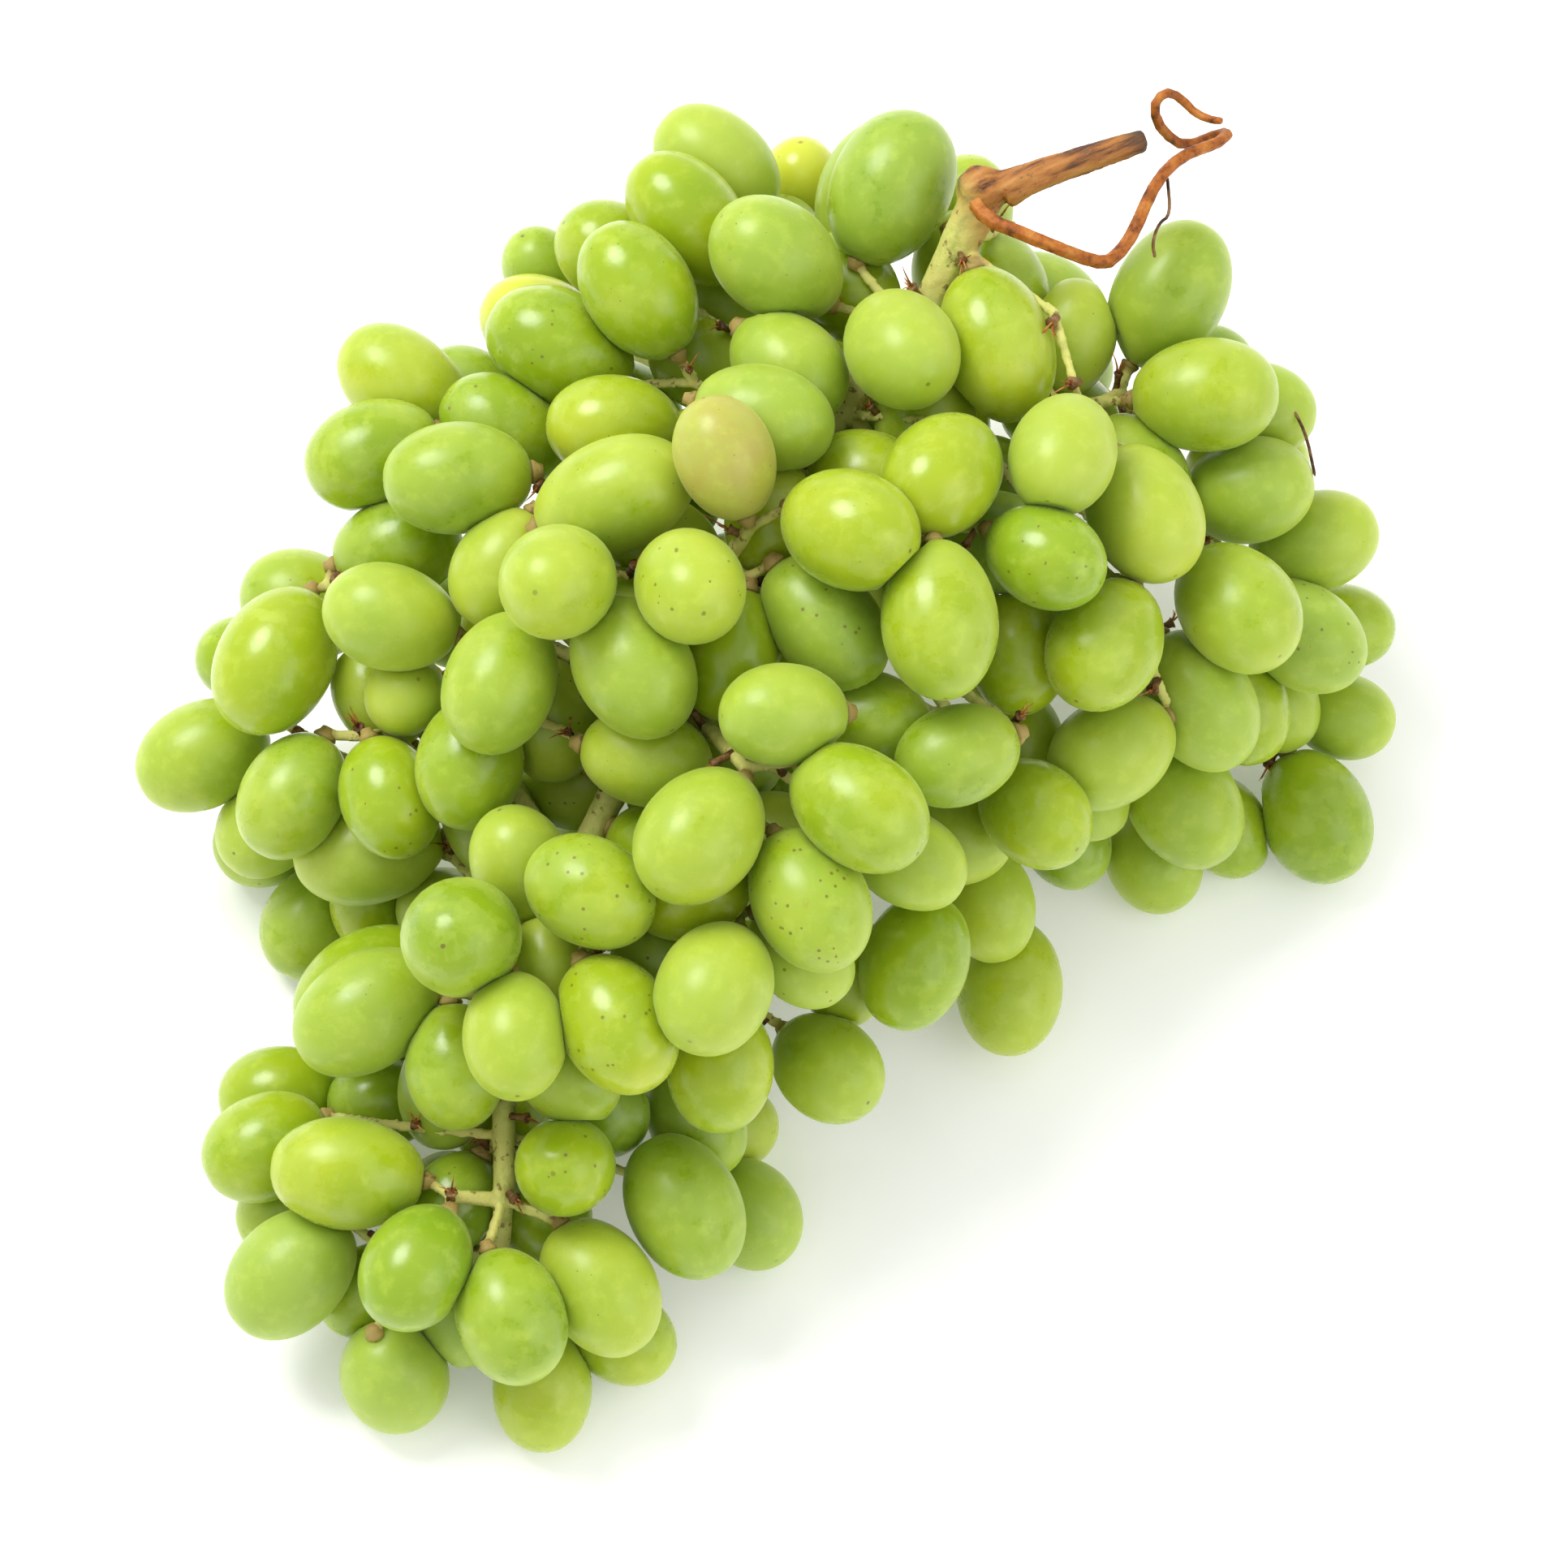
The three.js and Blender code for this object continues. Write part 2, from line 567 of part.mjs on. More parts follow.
// Each berry's stem runs to the main stem, or to the first other stem it meets on the way.
const knots = mainStem.slice(3).map(({ point, radius }) => ({ point, parent: null, load: 0, fixed: true, radius }));
const taken = new Map();
const order = berries
  .map((berry) => {
    const root = berry.centre.clone().addScaledVector(berry.axis, -berry.half);
    const door = root.clone().addScaledVector(berry.axis, -2.2);
    const cost = (cell) => effort[cell] + placeOf(cell).distanceTo(door) * 5;
    const start = cellsWithin(door, 4).reduce((best, cell) => (cost(cell) < cost(best) ? cell : best));
    return { berry, root, start };
  })
  .sort((a, b) => effort[a.start] - effort[b.start]);
for (const { berry, root, start } of order) {
  if (!Number.isFinite(effort[start]) || !berry.laid) continue;
  const trail = [];
  let cell = start;
  let parent = null;
  while (parent === null) {
    const neighbour = joins.find(({ to }) => taken.has(cell + to));
    if (taken.has(cell)) parent = taken.get(cell);
    else if (neighbour) parent = taken.get(cell + neighbour.to);
    else if (towards[cell] <= -2) parent = knots[-2 - towards[cell]];
    else {
      trail.push(cell);
      cell = towards[cell];
    }
  }
  for (const stop of trail.reverse()) {
    const knot = { point: placeOf(stop), parent, load: 0, fixed: false };
    knots.push(knot);
    taken.set(stop, knot);
    parent = knot;
  }
  const tip = root.clone().addScaledVector(berry.axis, -GAP - 0.1);
  const end = { point: tip, parent, load: 0, fixed: true };
  knots.push(end);
  for (let knot = end; knot; knot = knot.parent) knot.load += 1;
}

// Ease the kinks out of the stems without letting them into the berries.
for (const knot of knots) knot.children = knots.filter((other) => other.parent === knot);
const thickness = (knot) => STEMLET_RADIUS * Math.min(2, knot.load ** STEM_GROWTH);
for (let round = 0; round < 12; round += 1) {
  for (const knot of knots) {
    if (knot.fixed || !knot.children.length) continue;
    const mean = knot.children.reduce((sum, child) => sum.add(child.point), new THREE.Vector3());
    mean.divideScalar(knot.children.length).add(knot.parent.point).multiplyScalar(0.5);
    knot.point.lerp(mean, 0.6);
    const { least, outward } = clearance(knot.point, berries);
    const short = thickness(knot) + GAP - least;
    if (short > 0) knot.point.addScaledVector(outward, Math.min(short, 0.6));
    knot.point.z = Math.max(knot.point.z, 2);
  }
}

// Solids
function solidOf(geometry) {
  geometry.deleteAttribute("normal");
  geometry.deleteAttribute("uv");
  const merged = mergeVertices(geometry, 1e-4);
  const mesh = new wasm.Mesh({
    numProp: 3,
    vertProperties: new Float32Array(merged.getAttribute("position").array),
    triVerts: new Uint32Array(merged.index.array),
  });
  return new wasm.Manifold(mesh);
}

// A ball of sixty faces, standing on a corner: an icosahedron and a dodecahedron in one hull.
const LONG_AXIS = new THREE.Vector3(0, 1, 0);

function roundBall() {
  const corners = [];
  for (const shape of [new THREE.IcosahedronGeometry(1), new THREE.DodecahedronGeometry(1)]) {
    const position = shape.getAttribute("position");
    for (let i = 0; i < position.count; i += 1) corners.push(new THREE.Vector3().fromBufferAttribute(position, i));
  }
  const upright = new THREE.Quaternion().setFromUnitVectors(corners[0].clone().normalize(), LONG_AXIS);
  return solidOf(new ConvexGeometry(corners.map((corner) => corner.applyQuaternion(upright))));
}

const ball = roundBall();

function ballAt({ centre, axis, radius, half }, margin = 0) {
  const turn = new THREE.Quaternion().setFromUnitVectors(LONG_AXIS, axis);
  const scale = new THREE.Vector3(radius + margin, half + margin, radius + margin);
  return ball.transform(new THREE.Matrix4().compose(centre, turn, scale).elements);
}

// A closed rod through a row of points, with its own radius at each.
function rodSolid(points, radii, sides) {
  const corners = [];
  const faces = [];
  const last = points.length - 1;
  const side = new THREE.Vector3(0.31, 0.52, 0.79);
  points.forEach((point, i) => {
    const ahead = points[Math.min(i + 1, last)].clone().sub(points[Math.max(i - 1, 0)]).normalize();
    side.addScaledVector(ahead, -side.dot(ahead)).normalize();
    const across = ahead.clone().cross(side);
    for (let k = 0; k < sides; k += 1) {
      const turn = (k / sides) * 2 * Math.PI;
      const corner = point.clone().addScaledVector(side, Math.cos(turn) * radii[i]);
      corner.addScaledVector(across, Math.sin(turn) * radii[i]);
      corners.push(corner.x, corner.y, corner.z);
      if (i === last) continue;
      const a = i * sides + k;
      const b = i * sides + ((k + 1) % sides);
      faces.push(a, b, b + sides, a, b + sides, a + sides);
    }
  });
  for (let k = 1; k < sides - 1; k += 1) {
    faces.push(0, k + 1, k);
    faces.push(last * sides, last * sides + k, last * sides + k + 1);
  }
  const geometry = new THREE.BufferGeometry();
  geometry.setAttribute("position", new THREE.Float32BufferAttribute(corners, 3));
  geometry.setIndex(faces);
  return solidOf(geometry);
}

// One rod for every berry: it starts in the stem it branches from and keeps to the thickest way out.
function stemRods() {
  const heir = (knot) => knot.children.reduce((best, child) => (child.load > best.load ? child : best));
  const solids = [];
  for (const knot of knots) {
    if (!knot.parent || !knot.load) continue;
    if (!knot.parent.fixed && heir(knot.parent) === knot) continue;
    const run = [knot];
    while (run.at(-1).children.length) run.push(heir(run.at(-1)));
    const points = [knot.parent.point];
    const radii = [thickness(knot)];
    run.forEach((place, i) => {
      const spaced = place.point.distanceTo(points.at(-1)) > STEM_STEP;
      const forks = place.children.length > 1 && place.point.distanceTo(points.at(-1)) > 1;
      if (!spaced && !forks && i < run.length - 1) return;
      points.push(place.point);
      radii.push(thickness(place));
    });
    points[0] = points[0].clone().sub(points[1]).setLength(radii[0] * 0.6).add(points[0]);
    solids.push(rodSolid(points, radii, knot.load > 3 ? STEM_SIDES : STEM_SIDES - 1));
  }
  return solids;
}

// The thickest of the pieces a solid falls into.
const largest = (solid) => solid.decompose().reduce((best, piece) => (piece.volume() > best.volume() ? piece : best));

const wood = (rod, margin, sides) =>
  rodSolid(rod.map(({ point }) => point), rod.map(({ radius }) => radius + margin), sides);
const everyThird = (rod) => rod.filter((_, i) => i % 3 === 0 || i === rod.length - 1);
const jointBall = (margin) => ball.scale(joint.radius + margin).translate(joint.point.toArray());
const thickWood = (margin) => [wood(everyThird(mainStem), margin, 8), wood(arm, margin, 7), jointBall(margin)];

const allBerries = wasm.Manifold.union(berries.map((berry) => ballAt(berry, GAP)));
const stalk = largest(
  wasm.Manifold.union([...thickWood(0), ...stemRods()]).simplify(0.5).subtract(allBerries).simplify(0.5),
);
const curl = largest(wood(tendril, 0, 5).subtract(wasm.Manifold.union(thickWood(GAP))).subtract(allBerries));

// Meshes, one for each piece, moved together so that the bunch stands over the origin.
function meshOf(solid, name, color, roughness) {
  const { vertProperties, triVerts } = solid.getMesh();
  const geometry = new THREE.BufferGeometry();
  geometry.setAttribute("position", new THREE.BufferAttribute(vertProperties, 3));
  geometry.setIndex(new THREE.BufferAttribute(triVerts, 1));
  geometry.computeVertexNormals();
  const material = new THREE.MeshStandardMaterial({ color, roughness, metalness: 0 });
  const mesh = new THREE.Mesh(geometry, material);
  mesh.name = name;
  return mesh;
}

// A cluster is its berries in one; where two of them barely meet, a short neck joins them.
function clusterSolid(members) {
  const solids = members.map((k) => ballAt(berries[k]));
  for (const i of members) {
    for (const j of members) {
      if (links.get(i * 1000 + j) !== "joined") continue;
      if (ballAt(berries[i]).add(ballAt(berries[j])).decompose().length === 1) continue;
      solids.push(rodSolid([berries[i].centre, berries[j].centre], [NECK, NECK], 3));
    }
  }
  return wasm.Manifold.union(solids);
}

const group = new THREE.Group();
group.name = "grape_bunch";
group.add(meshOf(stalk, "stalk", 0xa9a04c, 0.6));
group.add(meshOf(curl, "tendril", 0xb0602c, 0.55));
clusters.forEach((members, i) => {
  const solid = clusterSolid(members).trimByPlane([0, 0, 1], 0).simplify(0.12);
  const skin = new THREE.Color(0x9bbb34).offsetHSL(Math.sin(i * 2.4) * 0.012, 0, Math.sin(i * 5.1) * 0.025);
  group.add(meshOf(solid, `berries_${String(i + 1).padStart(2, "0")}`, skin, 0.35));
});

const whole = new THREE.Box3().setFromObject(group);
const middle = whole.getCenter(new THREE.Vector3());
for (const mesh of group.children) mesh.geometry.translate(-middle.x, -middle.y, -whole.min.z);

export default group;
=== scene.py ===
# %% [markdown]
# # A bunch of white grapes
#
# The bunch lies on its side on a pale table. That model is coarse: its berries have sixty faces each, and
# neighbours are joined in clusters. This lesson reads the berries back out of it and builds the fine
# surface that the eye expects: taut skins, waxy bloom, specks, woody stems and dry threads.
#
# The first cell loads the frame and keeps its outer box, so the finished bunch can be compared with it.

# %% Load the frame
import math
import random
import bmesh
import bpy
import numpy as np
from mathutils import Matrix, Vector, noise
from mathutils.bvhtree import BVHTree
from mathutils.kdtree import KDTree


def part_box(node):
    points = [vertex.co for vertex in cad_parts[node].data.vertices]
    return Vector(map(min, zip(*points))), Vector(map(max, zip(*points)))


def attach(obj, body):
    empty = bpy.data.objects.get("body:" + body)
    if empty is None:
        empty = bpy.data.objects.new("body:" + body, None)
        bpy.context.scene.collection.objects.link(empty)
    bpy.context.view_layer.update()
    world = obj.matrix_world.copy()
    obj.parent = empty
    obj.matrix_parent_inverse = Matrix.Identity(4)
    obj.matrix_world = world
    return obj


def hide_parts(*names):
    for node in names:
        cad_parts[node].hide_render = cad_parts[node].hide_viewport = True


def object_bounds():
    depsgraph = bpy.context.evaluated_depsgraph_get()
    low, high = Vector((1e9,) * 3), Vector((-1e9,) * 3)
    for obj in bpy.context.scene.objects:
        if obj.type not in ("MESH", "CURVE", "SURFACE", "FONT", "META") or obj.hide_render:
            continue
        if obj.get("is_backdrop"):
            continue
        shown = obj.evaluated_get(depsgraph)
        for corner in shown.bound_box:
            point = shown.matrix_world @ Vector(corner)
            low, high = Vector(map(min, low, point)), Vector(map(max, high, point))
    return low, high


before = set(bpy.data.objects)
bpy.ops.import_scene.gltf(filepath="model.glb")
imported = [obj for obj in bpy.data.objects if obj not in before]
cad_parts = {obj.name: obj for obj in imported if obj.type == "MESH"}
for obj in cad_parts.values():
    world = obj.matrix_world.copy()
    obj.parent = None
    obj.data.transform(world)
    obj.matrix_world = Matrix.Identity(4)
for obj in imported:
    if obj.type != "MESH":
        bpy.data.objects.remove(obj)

MM = 0.001
cad_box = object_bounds()
cluster_names = sorted(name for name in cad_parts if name.startswith("berries_"))
print("clusters", len(cluster_names), "box in mm", [[round(v / MM, 1) for v in corner] for corner in cad_box])

# %% [markdown]
# ## Finding the berries in a cluster
#
# A berry is convex, so no edge on it folds inwards. Only the crease where two berries meet does. Walking
# from face to face without crossing an inward fold therefore collects exactly one berry. One could also keep
# a list of berries in this file, but then there would be two lists to keep alike.
#
# An ellipsoid is then fitted through the corners of each collected patch. Its equation is linear in its nine
# unknowns, so one least-squares step finds it, and the eigenvectors of its matrix are its axes.

# %% Split a cluster at its creases
CREASE_ANGLE = -0.06
TABLE_SKIN = 0.02 * MM


def convex_patches(mesh):
    bm = bmesh.new()
    bm.from_mesh(mesh)
    bmesh.ops.remove_doubles(bm, verts=bm.verts, dist=0.002 * MM)
    creases = {e for e in bm.edges if len(e.link_faces) == 2 and e.calc_face_angle_signed(0) < CREASE_ANGLE}
    seen = set()
    for first in bm.faces:
        if first in seen:
            continue
        patch, todo = [], [first]
        seen.add(first)
        while todo:
            face = todo.pop()
            patch.append(face)
            for edge in face.edges:
                if edge in creases:
                    continue
                for other in edge.link_faces:
                    if other not in seen:
                        seen.add(other)
                        todo.append(other)
        rim = {v for f in patch for e in f.edges if e in creases for v in e.verts}
        corners = {v for f in patch for v in f.verts} - rim
        corners = [v.co.copy() for v in corners if v.co.z > TABLE_SKIN]
        yield corners, sum(f.calc_area() for f in patch)
    bm.free()


# %% Fit one berry to its corners
def fit_berry(corners):
    points = np.array([tuple(c) for c in corners]) / MM
    keep = np.ones(len(points), bool)
    for _ in range(3):
        middle = points[keep].mean(axis=0)
        x, y, z = (points - middle).T / 10
        table = np.stack([x * x, y * y, z * z, 2 * x * y, 2 * x * z, 2 * y * z, x, y, z], axis=1)
        q = np.linalg.lstsq(table[keep], np.ones(keep.sum()), rcond=None)[0]
        error = np.abs(table @ q - 1)
        keep = error <= max(0.02, np.sort(error)[min(len(error) - 1, 11)])
    form = np.array([[q[0], q[3], q[4]], [q[3], q[1], q[5]], [q[4], q[5], q[2]]])
    centre = -0.5 * np.linalg.solve(form, q[6:])
    values, vectors = np.linalg.eigh(form / (1 + centre @ form @ centre))
    radii = 10 / np.sqrt(np.abs(values))
    long = 0 if radii[0] - radii[1] > radii[1] - radii[2] else 2
    radius = float(np.delete(radii, long).mean())
    return {
        "centre": Vector((centre * 10 + middle) * MM),
        "axis": Vector(vectors[:, long]).normalized(),
        "radius": radius * MM,
        "half": float(radii[long]) * MM,
        "error": float(np.median(error)),
    }


# %% Read every cluster
FEWEST_CORNERS = 10
SMALLEST_PATCH = 60 * MM * MM

berries = []
for name in cluster_names:
    for corners, area in convex_patches(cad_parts[name].data):
        if len(corners) < FEWEST_CORNERS or area < SMALLEST_PATCH:
            continue
        berry = fit_berry(corners)
        berry["cluster"] = name
        berries.append(berry)
odd = [b for b in berries if not 4.5 < b["radius"] / MM < 10.5 or not 1.05 < b["half"] / b["radius"] < 1.6]
print("berries", len(berries), "odd fits", [(b["cluster"], b["radius"] / MM, b["half"] / MM) for b in odd])

# %% [markdown]
# ## Which end is the stem
#
# A fit gives a berry's long axis but not its direction. The stalk answers that: a berry's own little stem
# stops just short of it, so the pole nearer to the stalk is the stem end. From there the axis points to the
# free end, where the dried scar of the flower sits.

# %% Turn the axes to the free ends
STEM_REACH = 2.2 * MM

stalk_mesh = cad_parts["stalk"].data
stalk_tree = KDTree(len(stalk_mesh.vertices))
for vertex in stalk_mesh.vertices:
    stalk_tree.insert(vertex.co, vertex.index)
stalk_tree.balance()

for berry in berries:
    poles = [berry["centre"] + berry["axis"] * berry["half"] * side for side in (-1, 1)]
    reach = [stalk_tree.find(pole)[2] for pole in poles]
    if reach[1] < reach[0]:
        berry["axis"].negate()
    berry["stemmed"] = min(reach) < STEM_REACH
print("berries with a stem", sum(b["stemmed"] for b in berries))

# %% [markdown]
# ## The camera
#
# The eye is far away and looks steeply down over the tail of the bunch, so a long lens is needed. Its length
# follows from the width that the frame should hold at the distance of the bunch.

# %% Camera
LOOK_DOWN = math.radians(65)
EYE_DISTANCE = 900 * MM
FRAME_WIDTH = 241.5 * MM
SENSOR_WIDTH = 36

cad_low, cad_high = Vector(cad_box[0]), Vector(cad_box[1])
target = (cad_low + cad_high) / 2 + Vector((1.4, -6.0, -8.0)) * MM
towards_eye = Vector((0, -math.cos(LOOK_DOWN), math.sin(LOOK_DOWN)))
camera_data = bpy.data.cameras.new("camera")
camera_data.sensor_width = SENSOR_WIDTH
camera_data.lens = SENSOR_WIDTH * EYE_DISTANCE / FRAME_WIDTH
camera = bpy.data.objects.new("camera", camera_data)
camera.location = target + towards_eye * EYE_DISTANCE
camera.rotation_euler = (math.pi / 2 - LOOK_DOWN, 0, 0)
bpy.context.scene.collection.objects.link(camera)
bpy.context.scene.camera = camera
print("lens in mm", round(camera_data.lens, 1))

# %% [markdown]
# ## The shape of a grape
#
# A sphere that is only stretched looks like a capsule. A grape is a little fuller towards its free end, has a
# shallow dimple round its stem, a tiny scar at its tip and a skin that isn't quite round. So each berry is a
# ring-by-ring surface of its own: the rings follow a drawn profile, and slow noise makes them uneven.

# %% One berry's surface
RINGS = 26
SIDES = 32
SWELL = 1.015
DIMPLE_DEPTH = 0.5 * MM
DIMPLE_RADIUS = 1.7 * MM
LUMP_SIZE = 9 * MM
LUMP_HEIGHT = 0.014


def berry_surface(berry, seed):
    axis = berry["axis"]
    side = axis.orthogonal().normalized()
    across = axis.cross(side)
    verts = []
    for ring in range(RINGS + 1):
        turn = math.pi * ring / RINGS
        along, wide = -math.cos(turn), math.sin(turn)
        wide *= 1 + 0.03 * along
        dimple = DIMPLE_DEPTH * math.exp(-((wide * berry["radius"] / DIMPLE_RADIUS) ** 2))
        along = along * berry["half"] * SWELL + (dimple if ring < RINGS / 2 else -0.25 * dimple)
        for k in range(1 if ring in (0, RINGS) else SIDES):
            angle = 2 * math.pi * k / SIDES
            out = side * math.cos(angle) + across * math.sin(angle)
            point = axis * along + out * (wide * berry["radius"] * SWELL)
            lumps = noise.noise(point / LUMP_SIZE + Vector((seed * 7.3, seed * 1.7, 0)))
            point *= 1 + LUMP_HEIGHT * lumps
            verts.append(berry["centre"] + point)
    tips = [(vert - verts[-1]).length / MM for vert in verts]
    faces = []
    for k in range(SIDES):
        after = (k + 1) % SIDES
        faces.append((0, 1 + after, 1 + k))
        last = len(verts) - 1
        faces.append((last, last - SIDES + k, last - SIDES + after))
        for ring in range(RINGS - 2):
            a, b = 1 + ring * SIDES + k, 1 + ring * SIDES + after
            faces.append((a, b, b + SIDES, a + SIDES))
    return verts, faces, tips


# %% [markdown]
# ## Berries that press on each other
#
# In a tight bunch two skins never pass through each other. They flatten where they meet. For each pair of
# close berries there is a plane between them, split in the ratio of their thickness, and whatever part of a
# berry would lie beyond it is laid back onto it. The same is done with the table under the lowest berries.

# %% Neighbours and contact planes
SKIN_GAP = 0.03 * MM


def thickness_towards(berry, direction):
    along = berry["axis"].dot(direction)
    across = math.sqrt(max(0.0, 1 - along * along))
    return SWELL / math.hypot(along / berry["half"], across / berry["radius"])


for berry in berries:
    berry["planes"] = []
contacts = 0
for i, one in enumerate(berries):
    for other in berries[i + 1:]:
        away = other["centre"] - one["centre"]
        gap = away.length
        if gap > (one["half"] + other["half"]) * 1.1:
            continue
        away.normalize()
        mine, theirs = thickness_towards(one, away), thickness_towards(other, -away)
        share = gap * mine / (mine + theirs)
        one["planes"].append((away, share - SKIN_GAP))
        other["planes"].append((-away, gap - share - SKIN_GAP))
        contacts += mine + theirs > gap
print("touching pairs", contacts)


def press(berry, verts):
    for i, point in enumerate(verts):
        for away, limit in berry["planes"]:
            beyond = (point - berry["centre"]).dot(away) - limit
            if beyond > 0:
                point = point - away * beyond
        point.z = max(point.z, 0.0)
        verts[i] = point


# %% [markdown]
# ## One object for each cluster
#
# The berries of a cluster become one mesh, which takes the place of the coarse one. Each vertex also carries
# numbers for the skin to read: how far it is from the berry's tip, how ripe the berry is, how much bloom and
# how many marks it has. They are stored as named attributes, which every renderer and exporter keeps.

# %% Tints
rng = random.Random(11)


def in_box(x, y, z, low=cad_low, high=cad_high):
    return Vector(l + (h - l) * f for l, h, f in zip(low, high, (x, y, z)))


def nearest_berry(place):
    return min(berries, key=lambda berry: (berry["centre"] - place).length)


for berry in berries:
    # Berries lower down get a darker, greener place on the ramp and the dull dark green more often, so the
    # bunch darkens towards the table.
    low = 1 - berry["centre"].z / cad_high.z
    berry["tint"] = {
        "ripe": 0.52 + rng.uniform(-0.2, 0.2) - 0.12 * low,
        "bloom": max(0.0, min(1.0, rng.gauss(0.5, 0.2))),
        "dull": rng.uniform(0.5, 1.0) if rng.random() < 0.05 + 0.2 * low else rng.uniform(0, 0.25),
        "marks": 1.0 if rng.random() < 0.14 else rng.uniform(0.0, 0.5),
        "scar": rng.uniform(0.25, 1.0),
        "pink": 0.0,
    }
nearest_berry(in_box(0.46, 0.62, 0.93))["tint"].update(pink=1.0, ripe=0.6, dull=0.0)
for place in ((0.32, 0.86, 0.55), (0.52, 0.96, 0.5)):
    nearest_berry(in_box(*place))["tint"].update(ripe=1.3, dull=0.0, bloom=0.1)
print("dull berries", sum(b["tint"]["dull"] > 0.4 for b in berries))

# %% Build the clusters
berry_objects = []
for name in cluster_names:
    verts, faces, numbers = [], [], {key: [] for key in ("tip", *berries[0]["tint"])}
    for berry in (b for b in berries if b["cluster"] == name):
        its_verts, its_faces, tips = berry_surface(berry, rng.uniform(0, 20))
        press(berry, its_verts)
        faces += [tuple(len(verts) + i for i in face) for face in its_faces]
        verts += its_verts
        numbers["tip"] += tips
        for key, value in berry["tint"].items():
            numbers[key] += [value] * len(its_verts)
    mesh = bpy.data.meshes.new(name.replace("berries", "grapes"))
    mesh.from_pydata(verts, [], faces)
    mesh.shade_smooth()
    for key, values in numbers.items():
        mesh.attributes.new(key, "FLOAT", "POINT").data.foreach_set("value", values)
    piece = bpy.data.objects.new(mesh.name, mesh)
    bpy.context.scene.collection.objects.link(piece)
    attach(piece, "root")
    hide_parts(name)
    berry_objects.append(piece)
print("cluster objects", len(berry_objects), "vertices", sum(len(o.data.vertices) for o in berry_objects))

# %% [markdown]
# ## The skin of the grape
#
# Grape skin is a thin clear layer over pale wet flesh, so light goes in, turns yellow and comes out
# elsewhere. Subsurface scattering does that; transmission would need far more light paths to look as soft.
# On top sits bloom: a whitish wax, thick where nothing has touched it and rubbed away in patches, which hides
# the gloss. Under the skin lie faint paler veins, and brown specks, called lenticels, lie on it. The brown
# dot at the free end is the scar of the flower.
#
# Each of these is one share between two colours, driven by noise and by the numbers stored on the vertices.

# %% Small helpers for node materials
def new_material(name):
    material = bpy.data.materials.new(name)
    material.use_nodes = True
    nodes = material.node_tree.nodes
    return material, nodes, material.node_tree.links, nodes["Principled BSDF"]


def ramp(nodes, stops):
    node = nodes.new("ShaderNodeValToRGB")
    elements = node.color_ramp.elements
    while len(elements) < len(stops):
        elements.new(0.5)
    for element, (place, value) in zip(elements, stops):
        element.position = place
        element.color = (*value, 1)
    return node


def grey_ramp(nodes, stops):
    return ramp(nodes, [(place, (v, v, v)) for place, v in stops])


def noise_node(nodes, links, where, scale, detail=3, roughness=0.5):
    node = nodes.new("ShaderNodeTexNoise")
    node.inputs["Scale"].default_value = scale
    node.inputs["Detail"].default_value = detail
    node.inputs["Roughness"].default_value = roughness
    links.new(where, node.inputs["Vector"])
    return node.outputs["Fac"]


def math_node(nodes, links, operation, a, b, clamp=False):
    node = nodes.new("ShaderNodeMath")
    node.operation = operation
    node.use_clamp = clamp
    for socket, value in zip(node.inputs, (a, b)):
        if isinstance(value, (int, float)):
            socket.default_value = value
        else:
            links.new(value, socket)
    return node.outputs[0]


def mix_colour(nodes, links, share, a, b):
    node = nodes.new("ShaderNodeMix")
    node.data_type = "RGBA"
    for socket, value in ((node.inputs["Factor"], share), (node.inputs[6], a), (node.inputs[7], b)):
        if isinstance(value, bpy.types.NodeSocket):
            links.new(value, socket)
        elif isinstance(value, tuple):
            socket.default_value = (*value, 1)
        else:
            socket.default_value = value
    return node.outputs[2]


def attribute(nodes, name):
    node = nodes.new("ShaderNodeAttribute")
    node.attribute_name = name
    return node.outputs["Fac"]


def bumped(nodes, links, height, distance, strength=1.0):
    node = nodes.new("ShaderNodeBump")
    node.inputs["Distance"].default_value = distance
    node.inputs["Strength"].default_value = strength
    links.new(height, node.inputs["Height"])
    return node.outputs["Normal"]


